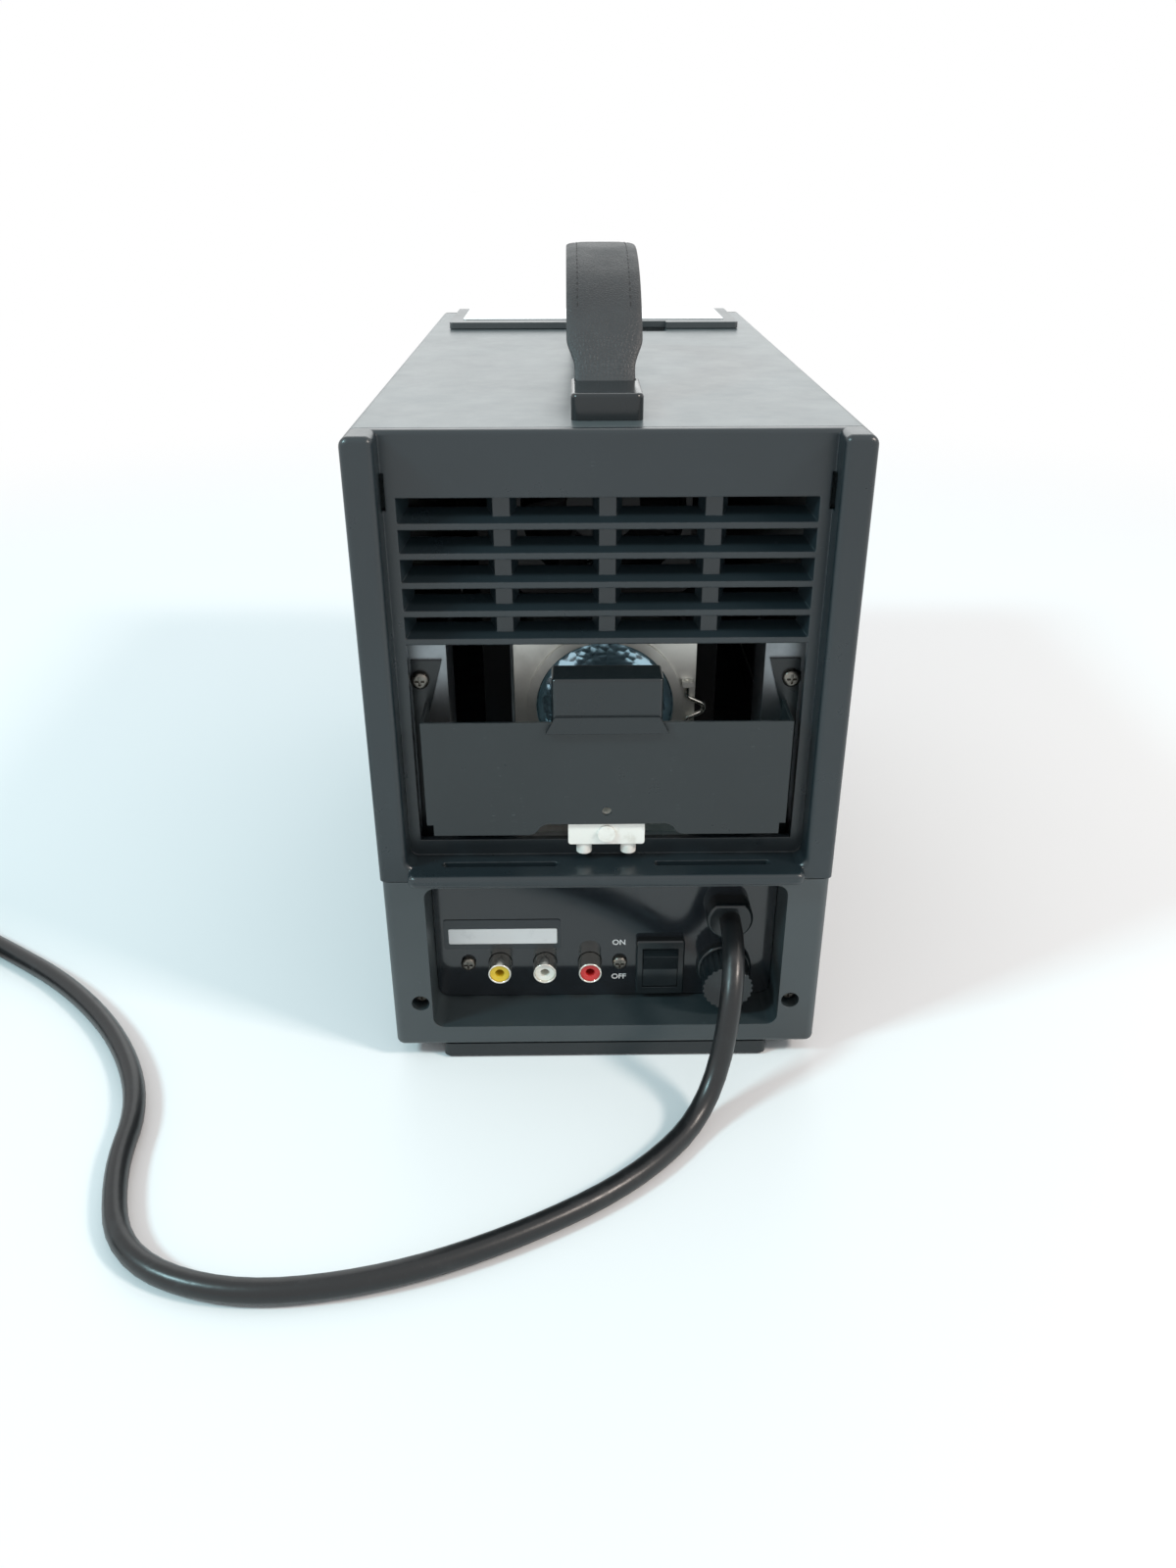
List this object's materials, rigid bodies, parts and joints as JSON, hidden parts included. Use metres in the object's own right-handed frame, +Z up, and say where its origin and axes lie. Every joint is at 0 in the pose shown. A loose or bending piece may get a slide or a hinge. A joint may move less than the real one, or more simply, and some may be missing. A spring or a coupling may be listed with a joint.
{
  "type": "video projector",
  "caption": "Small video projector with its lamp cover off: louvred rear frame, lamp bay and guard, rear sockets, carry strap, lidded adjusters, focusing lens, coiled mains lead.",
  "frame": {"origin": "on the floor under the middle of the body's box, mains lead left out", "axes": "+Y from the rear sockets towards the lens, +X to the right seen from the rear, +Z up"},
  "size_m": [0.4422, 0.4465, 0.2645],
  "materials": {
    "tray_plastic": "fine satin texture",
    "cover_paint": "fine textured dark paint",
    "frame_plastic": "semi-gloss",
    "front_plastic": "satin",
    "foot_rubber": "matt",
    "screw_steel": "bright zinc",
    "panel_plastic": "satin",
    "nickel": "nickel plate",
    "yellow_plastic": "smooth",
    "white_plastic": "smooth",
    "red_plastic": "smooth",
    "switch_plastic": "smooth",
    "label_film": "satin film",
    "guard_sheet": "satin black, worn",
    "grip_plastic": "smooth",
    "ceramic": "unglazed",
    "zinc_sheet": "galvanised",
    "dichroic_glass": "blue interference coating",
    "clear_glass": "polished",
    "display_glass": "polished",
    "optics_plastic": "matt",
    "lens_plastic": "satin",
    "fan_plastic": "matt",
    "transformer_steel": "varnished laminations",
    "board_laminate": "solder mask",
    "speaker_paper": "pulp cone",
    "knob_plastic": "satin",
    "lid_plastic": "satin",
    "plate_metal": "brushed",
    "cap_plastic": "smooth",
    "strap_leatherette": "stitched leatherette",
    "cord_jacket": "smooth PVC",
    "tie_plastic": "soft"
  },
  "bodies": {
    "case": {"lower_housing": "tray_plastic", "upper_cover": "cover_paint", "rear_bezel": "frame_plastic", "front_bezel": "front_plastic", "rear_foot": "foot_rubber", "front_feet": "foot_rubber", "control_panel": "panel_plastic", "panel_screws": "screw_steel", "corner_screws": "screw_steel", "jack_block": "panel_plastic", "jack_shells": "nickel", "video_insert": "yellow_plastic", "left_insert": "white_plastic", "right_insert": "red_plastic", "rocker_frame": "switch_plastic", "fuse_base": "switch_plastic", "cord_gland": "switch_plastic", "blank_label": "label_film", "lamp_guard": "guard_sheet", "guard_screws": "screw_steel", "lamp_grip": "grip_plastic", "terminal_block": "ceramic", "inner_chassis": "zinc_sheet", "lamp_plate": "zinc_sheet", "lamp_reflector": "dichroic_glass", "lamp_socket": "ceramic", "fan_frame": "fan_plastic", "optics_block": "optics_plastic", "condenser_lens": "clear_glass", "display_panel": "display_glass", "lens_tube": "lens_plastic", "transformer": "transformer_steel", "main_board": "board_laminate", "speaker": "speaker_paper", "control_well": "lid_plastic", "rear_handle_cap": "cap_plastic", "front_handle_cap": "cap_plastic", "handle_strap": "strap_leatherette", "power_cord": "cord_jacket", "cord_coil": "cord_jacket", "cord_tie": "tie_plastic", "cord_tail": "cord_jacket", "mains_plug": "cord_jacket", "plug_pins": "nickel"},
    "rocker": {"power_rocker": "switch_plastic"},
    "fuse_holder_cap": {"fuse_cap": "switch_plastic"},
    "lid": {"control_lid": "lid_plastic", "lid_plate": "plate_metal"},
    "tint": {"tint_knob": "knob_plastic"},
    "colour": {"colour_knob": "knob_plastic"},
    "contrast": {"contrast_knob": "knob_plastic"},
    "brightness": {"brightness_knob": "knob_plastic"},
    "focus": {"focus_ring": "lens_plastic"},
    "barrel": {"lens_barrel": "lens_plastic", "front_lens": "clear_glass"},
    "rotor": {"fan_rotor": "fan_plastic"},
    "bail": {"lamp_bail": "screw_steel"},
    "foot_nut": {"foot_wheel": "knob_plastic"},
    "foot_screw": {"foot_stem": "screw_steel"}
  },
  "joints": [
    {"name": "rocker_turn", "type": "hinge", "parent": "case", "child": "rocker", "pos_m": [0.0203, -0.1452, 0.0282], "axis": [-1, 0, 0], "range_deg": [0, 20]},
    {"name": "fuse_cap_turn", "type": "hinge", "parent": "case", "child": "fuse_holder_cap", "pos_m": [0.0438, -0.1522, 0.0272], "axis": [0, -1, 0], "range_deg": [0, 45]},
    {"name": "lid_hinge", "type": "hinge", "parent": "case", "child": "lid", "pos_m": [0, 0.1364, 0.22305], "axis": [-1, 0, 0], "range_deg": [0, 100]},
    {"name": "tint_turn", "type": "hinge", "parent": "case", "child": "tint", "pos_m": [-0.036, 0.1038, 0.21], "axis": [0, 0, -1], "range_deg": [-135, 135]},
    {"name": "colour_turn", "type": "hinge", "parent": "case", "child": "colour", "pos_m": [-0.012, 0.1038, 0.21], "axis": [0, 0, -1], "range_deg": [-135, 135]},
    {"name": "contrast_turn", "type": "hinge", "parent": "case", "child": "contrast", "pos_m": [0.012, 0.1038, 0.21], "axis": [0, 0, -1], "range_deg": [-135, 135]},
    {"name": "brightness_turn", "type": "hinge", "parent": "case", "child": "brightness", "pos_m": [0.036, 0.1038, 0.21], "axis": [0, 0, -1], "range_deg": [-135, 135]},
    {"name": "focus_turn", "type": "hinge", "parent": "case", "child": "focus", "pos_m": [0, 0.1578, 0.1255], "axis": [0, 1, 0], "range_deg": [0, 120]},
    {"name": "barrel_slide", "type": "slide", "parent": "case", "child": "barrel", "axis": [0, 1, 0], "range_m": [0, 0.008]},
    {"name": "fan_spin", "type": "hinge", "parent": "case", "child": "rotor", "pos_m": [0, -0.0902, 0.186], "axis": [0, 1, 0], "continuous": true},
    {"name": "bail_swing", "type": "hinge", "parent": "case", "child": "bail", "pos_m": [0.0276, -0.1314, 0.1252], "axis": [0, 0, -1], "range_deg": [0, 90]},
    {"name": "foot_nut_turn", "type": "hinge", "parent": "case", "child": "foot_nut", "pos_m": [0, 0.1098, 0.004], "axis": [0, 0, 1], "range_deg": [0, 2520]},
    {"name": "foot_screw_slide", "type": "slide", "parent": "case", "child": "foot_screw", "axis": [0, 0, -1], "range_m": [0, 0.014]}
  ],
  "couplings": [
    {"joint": "barrel_slide", "follows": "focus_turn", "m_per_rad": 0.00381},
    {"joint": "foot_screw_slide", "follows": "foot_nut_turn", "m_per_rad": 0.000318}
  ]
}
